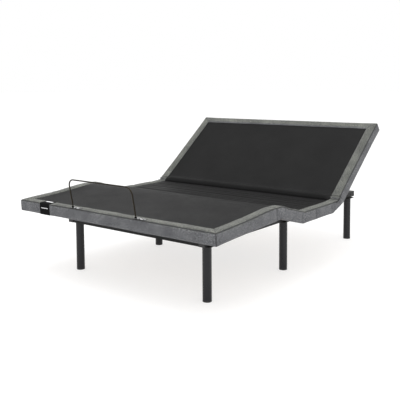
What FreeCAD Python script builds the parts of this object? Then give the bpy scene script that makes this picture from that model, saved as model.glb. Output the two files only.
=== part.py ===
# Adjustable bed base, queen size: a steel frame on six legs, four upholstered deck sections,
# a head lift and a foot lift. X runs across the bed, Y from foot to head, Z up. Millimetres.
# Every section is drawn lying flat and is then turned to the raised rest position.
import FreeCAD, Part
import math
import os

os.makedirs("parts", exist_ok=True)
V = FreeCAD.Vector

# Deck: overall width, edge lines with the deck flat, and heights
deck_half = 755.5
foot_end = -1021.0
knee_y = -426.0
thigh_y = -171.0
head_y = 250.0
head_end = 1009.0
timber_bottom = 350.3
board_bottom = 398.0
board_top = 413.0
wrap_bottom = 347.0
wrap_top = 417.0
cloth_top = 415.2
hinge_z = 409.0
knee_z = 350.0
joint_gap = 6.0

# Rest position of the sections, in degrees from flat
head_raise = 37.5
thigh_raise = 15.0
calf_slope = 3.0

# Upholstered edge
wrap_side = 8.0
border_width = 60.0
under_width = 28.0
timber_width = 25.0
bend_cut_length = 60.0
bend_cut_height = 26.0
bend_cut_half = 700.0

# Frame tubes and legs
tube = 38.0
wall = 2.0
frame_bottom = 309.0
frame_top = frame_bottom + tube
foot_rail_x = 516.0
head_rail_x = 476.0
foot_rail_end = -836.0
foot_rail_joint = 45.0
head_rail_joint = -60.0
head_rail_end = 1046.9
foot_cross_y = -816.0
mid_cross_ys = (-96.0, 114.0)
head_cross_y = 1022.0
leg_r = 25.4
leg_top = 305.0
leg_places = {
    "foot_left": (-504.0, -776.0),
    "foot_right": (504.0, -776.0),
    "middle_left": (-520.0, -20.0),
    "middle_right": (520.0, -20.0),
    "head_left": (-482.0, 959.0),
    "head_right": (482.0, 959.0),
}

# Lifting gear
lift_z = 329.0
lift_tube_r = 19.0
spigot_r = 10.0
arm_x = 300.0
arm_half = 10.0
arm_height = 24.0
head_arm = 400.0
thigh_arm = 180.0
pin_drop = 26.0
link_r = 12.0
pin_r = 5.0
pivot_gap = 0.3
crank_drop = 84.0
slot_r = 7.1
head_crank_x = -100.0
foot_crank_x = 100.0
head_crank_mid = 30.0
thigh_crank_mid = 22.5

# Calf support arms with rollers
calf_arm_y = -720.0
calf_arm_z = 328.0
calf_arm_length = 220.0
calf_arm_ratio = 1.1815
roller_r = 15.0
roller_flat_z = 355.7
calf_tube_r = 12.5

# Steel under the sections
sub = 25.0
sub_wall = 1.5
sub_bottom = board_bottom - sub

# Mattress retainer
bar_r = 4.0
bar_base_y = foot_end + 15.0
bar_centre_x = -35.0
bar_half = 249.5
bar_height = 172.0
bar_corner = 42.0
bar_lean = 8.0


def box(x0, x1, y0, y1, z0, z1):
    return Part.makeBox(x1 - x0, y1 - y0, z1 - z0, V(x0, y0, z0))


def rod_x(x0, x1, y, z, r):
    return Part.makeCylinder(r, x1 - x0, V(x0, y, z), V(1, 0, 0))


def rod_y(y0, y1, x, z, r):
    return Part.makeCylinder(r, y1 - y0, V(x, y0, z), V(0, 1, 0))


def rod_z(z0, z1, x, y, r):
    return Part.makeCylinder(r, z1 - z0, V(x, y, z0), V(0, 0, 1))


def mirrored(shape):
    return shape.mirror(V(0, 0, 0), V(1, 0, 0))


def pair(shape):
    return [shape, mirrored(shape)]


def turned(shape, y, z, angle):
    copy = shape.copy()
    copy.rotate(V(0, y, z), V(1, 0, 0), angle)
    return copy


def raise_head(shape):
    return turned(shape, head_y, hinge_z, head_raise)


def raise_thigh(shape):
    return turned(shape, thigh_y, hinge_z, -thigh_raise)


def raise_calf(shape):
    bent = turned(shape, knee_y, knee_z, thigh_raise + calf_slope)
    return turned(bent, thigh_y, hinge_z, -thigh_raise)


def leave(shape):
    return shape


def save(node, solids):
    shape = solids[0] if len(solids) == 1 else Part.makeCompound(solids)
    shape.exportStep("parts/" + node + ".step")


def tube_y(x, y0, y1, z0, size, skin):
    half = size / 2
    outer = box(x - half, x + half, y0, y1, z0, z0 + size)
    inner = box(x - half + skin, x + half - skin, y0 - 1, y1 + 1, z0 + skin, z0 + size - skin)
    return outer.cut(inner)


def tube_x(y, x0, x1, z0, size, skin):
    half = size / 2
    outer = box(x0, x1, y - half, y + half, z0, z0 + size)
    inner = box(x0 - 1, x1 + 1, y - half + skin, y + half - skin, z0 + skin, z0 + size - skin)
    return outer.cut(inner)


def strap(x0, x1, start, end, r):
    """Flat bar with round ends across a plane of constant x; start and end are (y, z)."""
    run = math.dist(start, end)
    ends = [rod_x(x0, x1, point[0], point[1], r) for point in (start, end)]
    middle = Part.makeBox(x1 - x0, run, 2 * r, V(x0, 0, -r))
    slope = math.degrees(math.atan2(end[1] - start[1], end[0] - start[0]))
    middle.rotate(V(0, 0, 0), V(1, 0, 0), slope)
    middle.translate(V(0, start[0], start[1]))
    return middle.fuse(ends).removeSplitter()


# Steel frame

bush_r = 12.0
bush_bore = spigot_r + 0.08
stud_hole_r = 5.4
fold_bolt_ys = (-38.0, 22.0)
fold_bolt_r = 5.0
bolt_z = frame_bottom + tube / 2
headboard_hole_r = 4.5
headboard_hole_ys = (930.0, 988.0)


def side_rail(x, y0, y1, bores, headboard_ys):
    rail = tube_y(x, y0, y1, frame_bottom, tube, wall)
    inner = x - math.copysign(tube / 2, x)
    outer = x + math.copysign(tube / 2, x)
    for y, z in bores:
        rail = rail.cut(rod_x(inner - 4, inner + 4, y, z, bush_r))
    for leg_x, leg_y in leg_places.values():
        if abs(leg_x - x) < tube and y0 < leg_y < y1:
            hole = rod_z(frame_bottom - 1, frame_bottom + wall + 1, leg_x, leg_y, stud_hole_r)
            rail = rail.cut(hole)
    for y in fold_bolt_ys:
        if y0 < y < y1:
            rail = rail.cut(rod_x(x - tube, x + tube, y, bolt_z, fold_bolt_r))
    for y in headboard_ys:
        rail = rail.cut(rod_x(outer - 4, outer + 4, y, bolt_z, headboard_hole_r))
    return rail


foot_bores = [(thigh_y, lift_z), (calf_arm_y, calf_arm_z)]
foot_rail = side_rail(foot_rail_x, foot_rail_end, foot_rail_joint, foot_bores, [])
head_bores = [(head_y, lift_z)]
head_rail = side_rail(head_rail_x, head_rail_joint, head_rail_end, head_bores, headboard_hole_ys)
save("foot_side_rail_right", [foot_rail])
save("foot_side_rail_left", [mirrored(foot_rail)])
save("head_side_rail_right", [head_rail])
save("head_side_rail_left", [mirrored(head_rail)])

foot_span = foot_rail_x - tube / 2
head_span = head_rail_x - tube / 2
save("foot_cross_tube", [tube_x(foot_cross_y, -foot_span, foot_span, frame_bottom, tube, wall)])
save("head_cross_tube", [tube_x(head_cross_y, -head_span, head_span, frame_bottom, tube, wall)])
mid_places = zip(mid_cross_ys, (foot_span, head_span))
mid_tubes = [tube_x(y, -span, span, frame_bottom, tube, wall) for y, span in mid_places]
save("middle_cross_tubes", mid_tubes)


plug_gap = 0.1
cap_rim = 3.0
cap_plug = 14.0


def end_cap(x, y, outward):
    """Plastic plug in a rail's open end, with a thin rim over the tube's edge."""
    half = tube / 2
    plug_half = half - wall - plug_gap
    rim = sorted((y, y + outward * cap_rim))
    plug = sorted((y, y - outward * cap_plug))
    cover = box(x - half, x + half, rim[0], rim[1], frame_bottom, frame_top)
    body = box(x - plug_half, x + plug_half, plug[0], plug[1], bolt_z - plug_half, bolt_z + plug_half)
    return cover.fuse(body).removeSplitter()


cap_places = [
    (foot_rail_x, foot_rail_end, -1),
    (foot_rail_x, foot_rail_joint, 1),
    (head_rail_x, head_rail_joint, -1),
    (head_rail_x, head_rail_end, 1),
]
caps = []
for x, y, outward in cap_places:
    caps += pair(end_cap(x, y, outward))
save("rail_end_caps", caps)


bolt_head_r = 9.0
bolt_head_height = 6.0
nut_r = 8.5
nut_height = 7.0


def through_bolt(y):
    """Bolt, washer head and nut through the overlapped foot and head rails."""
    inner = head_rail_x - tube / 2
    outer = foot_rail_x + tube / 2
    shank = rod_x(inner, outer, y, bolt_z, fold_bolt_r - 0.2)
    head = rod_x(outer, outer + bolt_head_height, y, bolt_z, bolt_head_r)
    nut = rod_x(inner - nut_height, inner, y, bolt_z, nut_r)
    return shank.fuse([head, nut]).removeSplitter()


bolts = []
for y in fold_bolt_ys:
    bolts += pair(through_bolt(y))
save("fold_joint_bolts", bolts)

# Legs

plate_half_y = 38.0
plate_reach = 34.0
stud_r = 5.0
stud_entry = 12.0
leg_cap = 5.0
pad_height = 8.0
pad_plug = 16.0
pad_round = 2.0


def leg_plate(x, y):
    rail_x = math.copysign(head_rail_x if y > head_rail_joint + 100 else foot_rail_x, x)
    x0 = min(x, rail_x) - plate_reach
    x1 = max(x, rail_x) + plate_reach
    plate = box(x0, x1, y - plate_half_y, y + plate_half_y, leg_top, frame_bottom)
    return plate.cut(rod_z(leg_top - 1, frame_bottom + 1, x, y, stud_hole_r))


def leg(x, y):
    """Round tube leg, closed at the top, with a threaded stud that enters the leg plate."""
    post = rod_z(pad_height, leg_top, x, y, leg_r)
    hollow = rod_z(pad_height - 1, leg_top - leg_cap, x, y, leg_r - wall)
    stud = rod_z(leg_top - leg_cap, frame_bottom + stud_entry, x, y, stud_r)
    return post.cut(hollow).fuse(stud).removeSplitter()


def leg_pad(x, y):
    foot = rod_z(0, pad_height, x, y, leg_r)
    ground_edges = [edge for edge in foot.Edges if edge.BoundBox.ZMax < 1]
    foot = foot.makeFillet(pad_round, ground_edges)
    plug = rod_z(pad_height, pad_height + pad_plug, x, y, leg_r - wall - plug_gap)
    return foot.fuse(plug).removeSplitter()


for place, (x, y) in leg_places.items():
    save("leg_" + place, [leg(x, y)])
save("leg_plates", [leg_plate(x, y) for x, y in leg_places.values()])
save("leg_pads", [leg_pad(x, y) for x, y in leg_places.values()])

bumper_r = 12.0
bumper_places = [
    (head_rail_x, 480.0),
    (head_rail_x, 880.0),
    (foot_rail_x, -300.0),
    (foot_rail_x, -640.0),
]
bumpers = []
for x, y in bumper_places:
    bumpers += pair(rod_z(frame_top, timber_bottom - 0.3, x, y, bumper_r))
save("rest_bumpers", bumpers)

# Deck sections

sections = {
    "head": (head_y + joint_gap, head_end, raise_head),
    "seat": (thigh_y + joint_gap, head_y - joint_gap, leave),
    "thigh": (knee_y + joint_gap, thigh_y - joint_gap, raise_thigh),
    "calf": (foot_end, knee_y - joint_gap, raise_calf),
}
closed_low = {"calf"}
closed_high = {"head"}
bend_sides = {"seat": 1, "head": -1}
bearer_x = {
    "head": (461.0, 491.0),
    "seat": (457.0, 535.0),
    "thigh": (501.0, 531.0),
    "calf": (501.0, 531.0),
}
bearer_bottom = {
    "head": timber_bottom,
    "seat": frame_top,
    "thigh": timber_bottom,
    "calf": timber_bottom,
}
core_half = deck_half - wrap_side
cleat = 30.0
wrap_past = 5.0
wrap_gap = 0.2
cloth_gap = 0.3


def bend_cuts(name):
    """Wedges below the edge rails beside the head hinge, where the padded edge bends in a round."""
    if name not in bend_sides:
        return []
    side = bend_sides[name]
    end = head_y - side * joint_gap
    far = end + side
    corners = [
        V(bend_cut_half, end - side * bend_cut_length, wrap_bottom),
        V(bend_cut_half, end - side * bend_cut_length, wrap_bottom - 1),
        V(bend_cut_half, far, wrap_bottom - 1),
        V(bend_cut_half, far, wrap_bottom + bend_cut_height),
        V(bend_cut_half, end, wrap_bottom + bend_cut_height),
    ]
    outline = Part.makePolygon(corners + corners[:1])
    return pair(Part.Face(outline).extrude(V(deck_half + 1 - bend_cut_half, 0, 0)))


def timber_panel(name):
    """Plywood board on solid timber edge rails, two bearers, and cleats at the knee."""
    y0, y1, place = sections[name]
    low = y0 + wrap_side if name in closed_low else y0
    high = y1 - wrap_side if name in closed_high else y1
    pieces = [box(-core_half, core_half, low, high, board_bottom, board_top)]
    rails = pair(box(core_half - timber_width, core_half, low, high, timber_bottom, board_bottom))
    for wedge in bend_cuts(name):
        rails = [rail.cut(wedge) for rail in rails]
    pieces += rails
    inner = core_half - timber_width
    end_low = low
    end_high = high
    if name in closed_low:
        end_low = low + timber_width
        pieces.append(box(-inner, inner, low, end_low, timber_bottom, board_bottom))
    if name in closed_high:
        end_high = high - timber_width
        pieces.append(box(-inner, inner, end_high, high, timber_bottom, board_bottom))
    if name == "thigh":
        end_low = low + cleat
        pieces.append(box(-inner, inner, low, end_low, timber_bottom, board_bottom))
    if name == "calf":
        pieces.append(box(-inner, inner, high - cleat, high, timber_bottom, board_bottom))
        end_high = high - cleat
    if name == "seat":
        end_low = thigh_y + lift_tube_r + 3
    x0, x1 = bearer_x[name]
    pieces += pair(box(x0, x1, end_low, end_high, bearer_bottom[name], board_bottom))
    return [place(piece) for piece in pieces]


def upholstered_wrap(name):
    """Padded fabric edge: a C section round the open sides of the timber panel."""
    y0, y1, place = sections[name]

    def inside(depth):
        low = y0 + depth if name in closed_low else y0 - wrap_past
        high = y1 - depth if name in closed_high else y1 + wrap_past
        return deck_half - depth, low, high

    wrap = box(-deck_half, deck_half, y0, y1, wrap_bottom, wrap_top)
    core, low, high = inside(wrap_side - wrap_gap)
    wrap = wrap.cut(box(-core, core, low, high, timber_bottom - wrap_gap, board_top + wrap_gap))
    top, low, high = inside(border_width)
    wrap = wrap.cut(box(-top, top, low, high, board_top, wrap_top + 1))
    under, low, high = inside(under_width)
    wrap = wrap.cut(box(-under, under, low, high, wrap_bottom - 1, timber_bottom))
    for wedge in bend_cuts(name):
        wrap = wrap.cut(wedge)
    return [place(solid) for solid in wrap.Solids]


def deck_cloth(name):
    """Black cover cloth over a thin felt, inside the border."""
    y0, y1, place = sections[name]
    margin = border_width + cloth_gap
    low = y0 + margin if name in closed_low else y0
    high = y1 - margin if name in closed_high else y1
    half = deck_half - margin
    return [place(box(-half, half, low, high, board_top + cloth_gap, cloth_top))]


for name in sections:
    save(name + "_timber_panel", timber_panel(name))
    save(name + "_upholstered_edge", upholstered_wrap(name))
    save(name + "_deck_cloth", deck_cloth(name))

# Steel sub-frames under the moving sections

sub_x = sub / 2


def cross_pieces(y, half):
    spans = [(-arm_x + sub_x, arm_x - sub_x), (arm_x + sub_x, half), (-half, -arm_x - sub_x)]
    return [tube_x(y, x0, x1, sub_bottom, sub, sub_wall) for x0, x1 in spans]


def sub_frame(y0, y1, cross_ys, half, pin_place, place):
    """Two long tubes and short cross tubes; the long tubes carry the link pins."""
    pieces = []
    for x in (-arm_x, arm_x):
        long_tube = tube_y(x, y0, y1, sub_bottom, sub, sub_wall)
        if pin_place:
            pin = rod_x(x - 23, x + 23, pin_place[0], pin_place[1], pin_r)
            long_tube = long_tube.fuse(pin).removeSplitter()
        pieces.append(long_tube)
    for y in cross_ys:
        pieces += cross_pieces(y, half)
    return [place(piece) for piece in pieces]


pin_z = hinge_z - pin_drop
head_pin = (head_y + head_arm, pin_z)
thigh_pin = (thigh_y - thigh_arm, pin_z)
head_span_half = bearer_x["head"][0]
calf_span_half = bearer_x["calf"][0]
head_cross_ys = (head_y + 230, 900.0)
head_sub = sub_frame(head_y + 120, 960.0, head_cross_ys, head_span_half, head_pin, raise_head)
thigh_sub = sub_frame(knee_y + 40, thigh_y - 60, (), 0, thigh_pin, raise_thigh)
calf_sub = sub_frame(-960.0, knee_y - 40, (-900.0,), calf_span_half, None, raise_calf)
save("head_subframe", head_sub)
save("thigh_subframe", thigh_sub)
save("calf_subframe", calf_sub)

# Deck hinges

knuckle_r = 4.0
hinge_pin_r = 1.5
leaf = 1.5
knuckles = 9
hinge_half = 690.0
knee_hinge_half = 470.0
pin_play = 0.1


def knuckle_spans(first, half):
    step = 2 * half / knuckles
    starts = [-half + step * k for k in range(first, knuckles, 2)]
    return [(start + 0.3, start + step - 0.3) for start in starts]


def standing_leaf(y, side, first):
    """Leaf screwed to a board's edge at a top hinge; side is +1 towards the head."""
    face = y + side * joint_gap
    inner = face - side * leaf
    y0, y1 = sorted((inner, face))
    plate = box(-hinge_half, hinge_half, y0, y1, board_bottom, board_top - 3)
    spans = knuckle_spans(first, hinge_half)
    barrels = [rod_x(x0, x1, y, hinge_z, knuckle_r) for x0, x1 in spans]
    webs = []
    for x0, x1 in spans:
        w0, w1 = sorted((y, inner))
        webs.append(box(x0, x1, w0, w1, hinge_z - knuckle_r, hinge_z - knuckle_r + leaf))
    others = knuckle_spans(1 - first, hinge_half)
    clearance = [rod_x(x0 - 0.6, x1 + 0.6, y, hinge_z, knuckle_r + 0.4) for x0, x1 in others]
    body = plate.cut(Part.makeCompound(clearance)).fuse(barrels + webs)
    bore = rod_x(-hinge_half - 1, hinge_half + 1, y, hinge_z, hinge_pin_r + pin_play)
    return body.cut(bore).removeSplitter()


def lying_leaf(side, first):
    """Leaf screwed under a knee cleat; side is +1 towards the head."""
    near = knee_y + side * (knuckle_r + 0.6)
    far = knee_y + side * (joint_gap + 24)
    y0, y1 = sorted((near, far))
    top = timber_bottom - 0.3
    plate = box(-knee_hinge_half, knee_hinge_half, y0, y1, top - leaf, top)
    spans = knuckle_spans(first, knee_hinge_half)
    barrels = [rod_x(x0, x1, knee_y, knee_z, knuckle_r) for x0, x1 in spans]
    webs = []
    for x0, x1 in spans:
        w0, w1 = sorted((knee_y, near))
        webs.append(box(x0, x1, w0, w1, top - leaf, top))
    bore = rod_x(-knee_hinge_half - 1, knee_hinge_half + 1, knee_y, knee_z, hinge_pin_r + pin_play)
    return plate.fuse(barrels + webs).cut(bore).removeSplitter()


def hinge_pin(y, z, half):
    return rod_x(-half, half, y, z, hinge_pin_r)


seat_pins = [hinge_pin(head_y, hinge_z, hinge_half), hinge_pin(thigh_y, hinge_z, hinge_half)]
save("seat_hinge_leaves", [standing_leaf(head_y, -1, 0), standing_leaf(thigh_y, 1, 0)] + seat_pins)
save("head_hinge_leaf", [raise_head(standing_leaf(head_y, 1, 1))])
thigh_hinges = [standing_leaf(thigh_y, -1, 1), lying_leaf(1, 0)]
thigh_hinges.append(hinge_pin(knee_y, knee_z, knee_hinge_half))
save("thigh_hinge_leaves", [raise_thigh(piece) for piece in thigh_hinges])
save("calf_hinge_leaf", [raise_calf(lying_leaf(-1, 1))])

# Lift tubes, arms and links

bush_flange = 2.5


def lift_tube(y, z, r, rail_x):
    """Torque tube between two rails, with a turned-down spigot in a bush at each end."""
    inner = rail_x - tube / 2
    body = rod_x(-inner + bush_flange + 0.5, inner - bush_flange - 0.5, y, z, r)
    spigot = rod_x(-inner - 10, inner + 10, y, z, spigot_r)
    return body.fuse(spigot).removeSplitter()


def bush(y, z, rail_x):
    inner = rail_x - tube / 2
    flange = rod_x(inner - bush_flange, inner, y, z, bush_r + 4)
    sleeve = rod_x(inner, inner + 4, y, z, bush_r)
    return flange.fuse(sleeve).cut(rod_x(inner - 10, inner + 10, y, z, bush_bore)).removeSplitter()


bush_places = [
    (head_y, lift_z, head_rail_x),
    (thigh_y, lift_z, foot_rail_x),
    (calf_arm_y, calf_arm_z, foot_rail_x),
]
bushes = []
for y, z, rail_x in bush_places:
    bushes += pair(bush(y, z, rail_x))
save("lift_tube_bushes", bushes)

crank_thick = 5.0
crank_inner = 11.0
crank_tip = 94.0
crank_r = 18.0
slot_up = 2.0
slot_down = 15.0


def crank_plates(x, y, lean):
    """Two slotted crank plates that hang from a torque tube; lean is their turn from vertical."""
    plates = []
    for side in (-1, 1):
        x0, x1 = sorted((x + side * crank_inner, x + side * (crank_inner + crank_thick)))
        plate = strap(x0, x1, (y, lift_z), (y, lift_z - crank_tip), crank_r)
        slot_top = (y, lift_z - crank_drop + slot_up)
        slot_end = (y, lift_z - crank_drop - slot_down)
        slot = strap(x0 - 1, x1 + 1, slot_top, slot_end, slot_r)
        plate = plate.cut(slot).cut(rod_x(x0 - 1, x1 + 1, y, lift_z, lift_tube_r))
        plates.append(turned(plate, y, lift_z, lean))
    return plates


def lift_arm(x, y, length, reach_sign, angle):
    """Flat-sided arm from the torque tube to the link pin."""
    tip = (y + reach_sign * length, lift_z - pin_drop)
    arm = strap(x - arm_half, x + arm_half, (y, lift_z), tip, arm_height / 2)
    arm = arm.cut(rod_x(x - 20, x + 20, y, lift_z, lift_tube_r))
    arm = arm.cut(rod_x(x - 20, x + 20, tip[0], tip[1], pin_r + pin_play))
    return turned(arm, y, lift_z, angle)


def lift_links(y, length, reach_sign, angle, spread):
    """Link plates that stay upright between the arm's tip and the section's pin."""
    start = V(0, y, hinge_z)
    top = V(0, y + reach_sign * length, hinge_z - pin_drop)
    turn = FreeCAD.Rotation(V(1, 0, 0), angle)
    top = start.add(turn.multVec(top.sub(start)))
    low = (top.y, top.z - (hinge_z - lift_z))
    links = []
    for x in (-arm_x, arm_x):
        plates = []
        for side in (-1, 1):
            x0, x1 = sorted((x + side * spread, x + side * (spread + crank_thick)))
            plate = strap(x0, x1, low, (top.y, top.z), link_r)
            plates.append(plate.cut(rod_x(x0 - 1, x1 + 1, top.y, top.z, pin_r + pivot_gap)))
        pin = rod_x(x - spread - crank_thick, x + spread + crank_thick, low[0], low[1], pin_r)
        links.append(plates[0].fuse([pin, plates[1]]).removeSplitter())
    return links


link_spread = 15.0
head_lean = head_raise - head_crank_mid
thigh_lean = thigh_crank_mid - thigh_raise
head_tube = lift_tube(head_y, lift_z, lift_tube_r, head_rail_x)
thigh_tube = lift_tube(thigh_y, lift_z, lift_tube_r, foot_rail_x)
save("head_lift_tube", [head_tube] + crank_plates(head_crank_x, head_y, head_lean))
save("thigh_lift_tube", [thigh_tube] + crank_plates(foot_crank_x, thigh_y, thigh_lean))
arm_xs = (-arm_x, arm_x)
save("head_lift_arms", [lift_arm(x, head_y, head_arm, 1, head_raise) for x in arm_xs])
save("thigh_lift_arms", [lift_arm(x, thigh_y, thigh_arm, -1, -thigh_raise) for x in arm_xs])
save("head_lift_links", lift_links(head_y, head_arm, 1, head_raise, link_spread))
save("thigh_lift_links", lift_links(thigh_y, thigh_arm, -1, -thigh_raise, link_spread))

# Calf support arms

calf_arm_flat = math.degrees(math.asin((roller_flat_z - calf_arm_z) / calf_arm_length))
calf_arm_turn = calf_arm_flat + calf_arm_ratio * thigh_raise
calf_tip = (
    calf_arm_y + calf_arm_length * math.cos(math.radians(calf_arm_turn)),
    calf_arm_z + calf_arm_length * math.sin(math.radians(calf_arm_turn)),
)
fork_inner = 14.0
fork_thick = 4.0
fork_r = 11.0
fork_half = fork_inner + fork_thick


def calf_arm(x):
    plates = []
    for side in (-1, 1):
        x0, x1 = sorted((x + side * fork_inner, x + side * fork_half))
        plates.append(strap(x0, x1, (calf_arm_y, calf_arm_z), calf_tip, fork_r))
    axle = rod_x(x - fork_half, x + fork_half, calf_tip[0], calf_tip[1], pin_r)
    body = plates[0].fuse([plates[1], axle]).removeSplitter()
    return body.cut(rod_x(x - 30, x + 30, calf_arm_y, calf_arm_z, calf_tube_r))


def roller(x):
    wheel = rod_x(x - fork_inner + 1.5, x + fork_inner - 1.5, calf_tip[0], calf_tip[1], roller_r)
    return wheel.cut(rod_x(x - 30, x + 30, calf_tip[0], calf_tip[1], pin_r + 0.08))


save("calf_support_tube", [lift_tube(calf_arm_y, calf_arm_z, calf_tube_r, foot_rail_x)])
save("calf_support_arms", [calf_arm(x) for x in arm_xs])
save("calf_support_rollers", [roller(x) for x in arm_xs])

# Actuators

actuator_z = lift_z - crank_drop
body_r = 17.0
inner_rod_r = 10.0
tail_pin_r = 5.0
gear_length = 76.0
gear_half_x = 22.0
gear_half_z = 27.0
motor_r = 28.0
motor_length = 112.0
motor_centre = 44.0
lug_half = 8.0
lug_r = 11.0
eye_half = 7.0
eye_r = 13.0
push_pin_half = 18.0
bracket_inner = 10.0
bracket_outer = 14.0


def actuator_body(x, tail, front, way):
    """Gearbox block and outer tube with a tail lug; way is the push direction along Y."""
    lug_end = (tail + way * 24, actuator_z)
    lug = strap(x - lug_half, x + lug_half, (tail, actuator_z), lug_end, lug_r)
    lug = lug.cut(rod_x(x - 20, x + 20, tail, actuator_z, tail_pin_r + 0.05))
    g0, g1 = sorted((tail + way * 16, tail + way * gear_length))
    gear_bottom = actuator_z - gear_half_z
    gear_top = actuator_z + gear_half_z
    gearbox = box(x - gear_half_x, x + gear_half_x, g0, g1, gear_bottom, gear_top)
    gearbox = gearbox.makeFillet(5.0, [e for e in gearbox.Edges if abs(e.Length - (g1 - g0)) < 0.01])
    t0, t1 = sorted((tail + way * (gear_length - 2), front))
    outer = rod_y(t0, t1, x, actuator_z, body_r)
    b0, b1 = sorted((tail + way * (gear_length + 4), front + way))
    bore = rod_y(b0, b1, x, actuator_z, inner_rod_r + 0.3)
    return lug.fuse([gearbox, outer]).cut(bore).removeSplitter()


def actuator_motor(x, tail, way, side):
    centre = tail + way * motor_centre
    start = x + side * gear_half_x
    x0, x1 = sorted((start, start + side * motor_length))
    can = rod_x(x0, x1, centre, actuator_z, motor_r)
    cap0, cap1 = sorted((start + side * motor_length, start + side * (motor_length + 8)))
    cap = rod_x(cap0, cap1, centre, actuator_z, motor_r - 4)
    return can.fuse(cap).removeSplitter()


def actuator_rod(x, pin_y, back_y, way):
    """Inner push rod with an eye and the pin that rides in the crank's slot."""
    shaft0, shaft1 = sorted((back_y, pin_y - way * 9))
    shaft = rod_y(shaft0, shaft1, x, actuator_z, inner_rod_r)
    eye = rod_x(x - eye_half, x + eye_half, pin_y, actuator_z, eye_r)
    pin = rod_x(x - push_pin_half, x + push_pin_half, pin_y, actuator_z, pin_r)
    return shaft.fuse([eye, pin]).removeSplitter()


def tail_bracket(x, tail, cross_y):
    """Two plates welded under a cross tube, holding the actuator's tail pin."""
    plates = []
    y0 = min(tail - 14, cross_y - 17)
    y1 = max(tail + 14, cross_y + 17)
    for side in (-1, 1):
        x0, x1 = sorted((x + side * bracket_inner, x + side * bracket_outer))
        plate = box(x0, x1, y0, y1, actuator_z - 16, frame_bottom)
        low, high = (tail + 14, y1 + 1) if cross_y > tail else (y0 - 1, tail - 14)
        plate = plate.cut(box(x0 - 1, x1 + 1, low, high, actuator_z - 20, actuator_z + 32))
        plates.append(plate.cut(rod_x(x0 - 1, x1 + 1, tail, actuator_z, tail_pin_r + 0.05)))
    return plates


def tail_pin(x, tail):
    shank = rod_x(x - 17, x + 17, tail, actuator_z, tail_pin_r)
    return shank.fuse(rod_x(x + 14, x + 18, tail, actuator_z, 8.0)).removeSplitter()


head_tail = -126.0
foot_tail = 144.0
head_front = 177.0
foot_front = -112.0
head_pin_y = head_y + crank_drop * math.tan(math.radians(head_lean))
foot_pin_y = thigh_y + crank_drop * math.tan(math.radians(thigh_lean))
head_rod_length = 160.0
foot_rod_length = 150.0
save("head_actuator_body", [actuator_body(head_crank_x, head_tail, head_front, 1)])
save("foot_actuator_body", [actuator_body(foot_crank_x, foot_tail, foot_front, -1)])
save("actuator_motors", [
    actuator_motor(head_crank_x, head_tail, 1, -1),
    actuator_motor(foot_crank_x, foot_tail, -1, 1),
])
save("head_actuator_rod", [actuator_rod(head_crank_x, head_pin_y, head_pin_y - head_rod_length, 1)])
save("foot_actuator_rod", [actuator_rod(foot_crank_x, foot_pin_y, foot_pin_y + foot_rod_length, -1)])
brackets = tail_bracket(head_crank_x, head_tail, mid_cross_ys[0])
brackets += tail_bracket(foot_crank_x, foot_tail, mid_cross_ys[1])
save("actuator_brackets", brackets)
save("actuator_tail_pins", [tail_pin(head_crank_x, head_tail), tail_pin(foot_crank_x, foot_tail)])

# Electrics

lead_r = 3.0
socket_hole_r = 4.0
case_bottom = 311.0
case_top = 345.0
control_half = 60.0
control_start = 24.0
supply_half = 75.0
supply_length = 62.0
lead_z = 328.0


def rounded_case(half, y0, y1):
    """Moulded case with its four upright corners rounded."""
    case = box(-half, half, y0, y1, case_bottom, case_top)
    upright = [edge for edge in case.Edges if abs(edge.Length - case_top + case_bottom) < 0.01]
    return case.makeFillet(4.0, upright)


control_box = rounded_case(control_half, control_start, mid_cross_ys[1] - tube / 2)
sockets = pair(rod_x(54, control_half + 1, 57, 327, 5.0))
sockets.append(rod_y(control_start - 1, 30, 0, lead_z, socket_hole_r))
save("control_box", [control_box.cut(Part.makeCompound(sockets))])
supply_end = mid_cross_ys[0] + tube / 2
power_supply = rounded_case(supply_half, supply_end, supply_end + supply_length)
inlet = box(-supply_half - 1, -58, supply_end + 18, supply_end + 46, 319, 339)
inlet_core = box(-72, -58, supply_end + 23, supply_end + 41, 324, 334)
lead_hole = rod_y(supply_end + 56, supply_end + supply_length + 1, 0, lead_z, socket_hole_r)
save("power_supply", [power_supply.cut(inlet.cut(inlet_core)).cut(lead_hole)])



def lead(points):
    """Round lead: straight runs joined by tangent arcs as large as the runs allow."""
    route = [V(*point) for point in points]
    edges = []
    last = route[0]
    for before, corner, after in zip(route, route[1:], route[2:]):
        into = corner.sub(before)
        out = after.sub(corner)
        trim = 0.45 * min(into.Length, out.Length)
        start = corner.sub(into.normalize().multiply(trim))
        end = corner.add(out.normalize().multiply(trim))
        chord = start.add(end).multiply(0.5)
        half_turn = into.getAngle(out) / 2
        radius = trim / math.tan(half_turn)
        towards = chord.sub(corner).normalize()
        centre = corner.add(towards.multiply(math.hypot(trim, radius)))
        middle = centre.add(corner.sub(centre).normalize().multiply(radius))
        edges.append(Part.LineSegment(last, start).toShape())
        edges.append(Part.Arc(start, middle, end).toShape())
        last = end
    edges.append(Part.LineSegment(last, route[-1]).toShape())
    path = Part.Wire(edges)
    first = route[1].sub(route[0])
    circle = Part.Wire([Part.Circle(route[0], first, lead_r).toShape()])
    return path.makePipeShell([circle], True, True)


head_lead = [
    (-190, -54.0, 252),
    (-190, -38, 258),
    (-178, -12, 276),
    (-150, 18, 298),
    (-112, 44, 317),
    (-80, 56, 326),
    (-55, 57, 327),
]
foot_lead = [
    (190, 71.6, 252),
    (190, 60, 262),
    (182, 50, 284),
    (160, 46, 306),
    (124, 50, 320),
    (84, 56, 326),
    (55, 57, 327),
]
supply_lead = rod_y(supply_end + 56, 30, 0, lead_z, lead_r)
save("clipped_leads", [lead(head_lead), lead(foot_lead), supply_lead])

# Mattress retainer and label

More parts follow.
